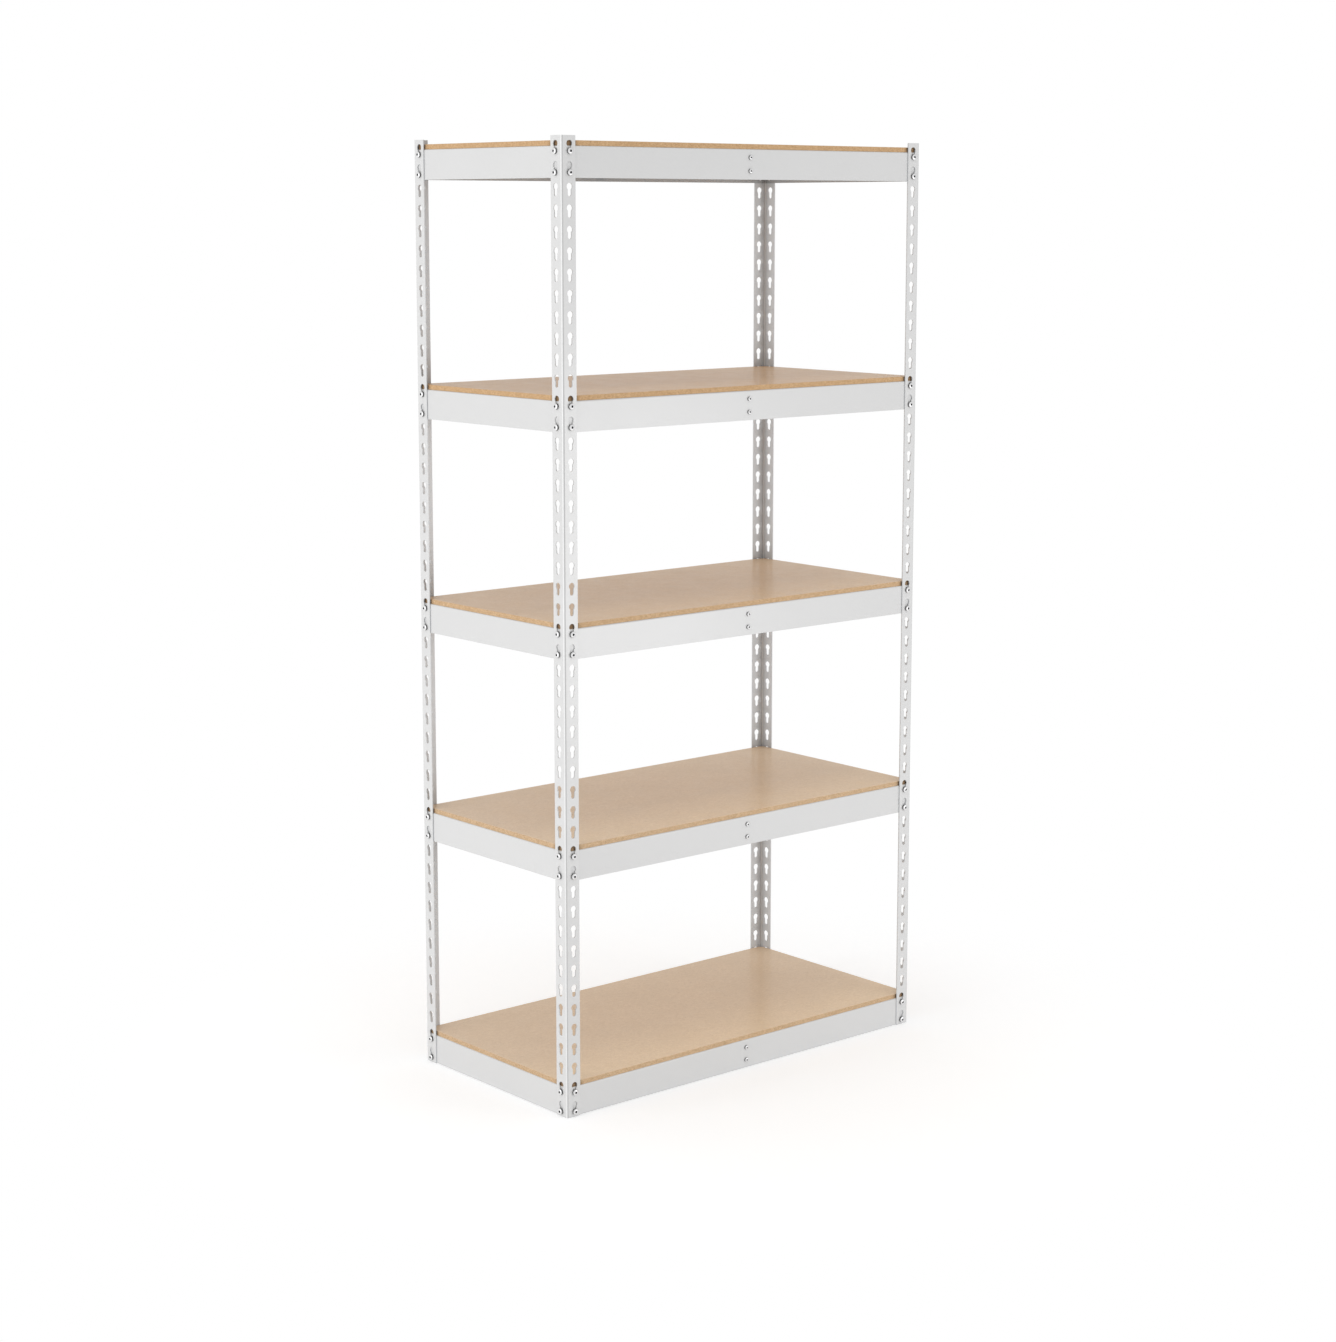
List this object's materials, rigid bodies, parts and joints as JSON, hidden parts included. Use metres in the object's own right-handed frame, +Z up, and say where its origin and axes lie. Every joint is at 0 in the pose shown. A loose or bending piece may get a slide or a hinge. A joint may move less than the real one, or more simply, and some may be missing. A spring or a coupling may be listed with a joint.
{
  "type": "boltless steel shelving",
  "caption": "Free-standing boltless shelving: keyhole angle posts, riveted drop-in beams, centre supports and loose particleboard decks.",
  "frame": {"origin": "middle of the footprint, on the floor", "axes": "+Z up the posts, X along the long beams, Y front to back with the front at -Y"},
  "size_m": [0.924, 0.4668, 1.8288],
  "materials": {
    "post_steel": "white powder coat, satin",
    "beam_steel": "white powder coat, satin",
    "support_steel": "black powder coat, satin",
    "rivet_steel": "bright zinc plate",
    "particleboard": "raw particleboard, sanded faces, sawn edges"
  },
  "bodies": {
    "frame": {"post_front_left": "post_steel", "post_front_right": "post_steel", "post_back_left": "post_steel", "post_back_right": "post_steel", "long_beam_front_1": "beam_steel", "long_beam_back_1": "beam_steel", "short_beam_left_1": "beam_steel", "short_beam_right_1": "beam_steel", "center_support_1": "support_steel", "end_rivets_1": "rivet_steel", "center_rivets_1": "rivet_steel", "long_beam_front_5": "beam_steel", "long_beam_back_5": "beam_steel", "short_beam_left_5": "beam_steel", "short_beam_right_5": "beam_steel", "center_support_5": "support_steel", "end_rivets_5": "rivet_steel", "center_rivets_5": "rivet_steel"},
    "shelf_2": {"long_beam_front_2": "beam_steel", "long_beam_back_2": "beam_steel", "short_beam_left_2": "beam_steel", "short_beam_right_2": "beam_steel", "center_support_2": "support_steel", "end_rivets_2": "rivet_steel", "center_rivets_2": "rivet_steel"},
    "shelf_3": {"long_beam_front_3": "beam_steel", "long_beam_back_3": "beam_steel", "short_beam_left_3": "beam_steel", "short_beam_right_3": "beam_steel", "center_support_3": "support_steel", "end_rivets_3": "rivet_steel", "center_rivets_3": "rivet_steel"},
    "shelf_4": {"long_beam_front_4": "beam_steel", "long_beam_back_4": "beam_steel", "short_beam_left_4": "beam_steel", "short_beam_right_4": "beam_steel", "center_support_4": "support_steel", "end_rivets_4": "rivet_steel", "center_rivets_4": "rivet_steel"},
    "loose_deck_1": {"deck_1": "particleboard"},
    "loose_deck_2": {"deck_2": "particleboard"},
    "loose_deck_3": {"deck_3": "particleboard"},
    "loose_deck_4": {"deck_4": "particleboard"},
    "loose_deck_5": {"deck_5": "particleboard"}
  },
  "joints": [
    {"name": "shelf_2_unhook", "type": "slide", "parent": "frame", "child": "shelf_2", "axis": [0, 0, 1], "range_m": [0, 0.0132]},
    {"name": "shelf_3_unhook", "type": "slide", "parent": "frame", "child": "shelf_3", "axis": [0, 0, 1], "range_m": [0, 0.0132]},
    {"name": "shelf_4_unhook", "type": "slide", "parent": "frame", "child": "shelf_4", "axis": [0, 0, 1], "range_m": [0, 0.0132]},
    {"name": "deck_1_lift", "type": "slide", "parent": "frame", "child": "loose_deck_1", "axis": [0, 0, 1], "range_m": [0, 0.25]},
    {"name": "deck_2_lift", "type": "slide", "parent": "shelf_2", "child": "loose_deck_2", "axis": [0, 0, 1], "range_m": [0, 0.25]},
    {"name": "deck_3_lift", "type": "slide", "parent": "shelf_3", "child": "loose_deck_3", "axis": [0, 0, 1], "range_m": [0, 0.25]},
    {"name": "deck_4_lift", "type": "slide", "parent": "shelf_4", "child": "loose_deck_4", "axis": [0, 0, 1], "range_m": [0, 0.25]},
    {"name": "deck_5_lift", "type": "slide", "parent": "frame", "child": "loose_deck_5", "axis": [0, 0, 1], "range_m": [0, 0.25]}
  ]
}
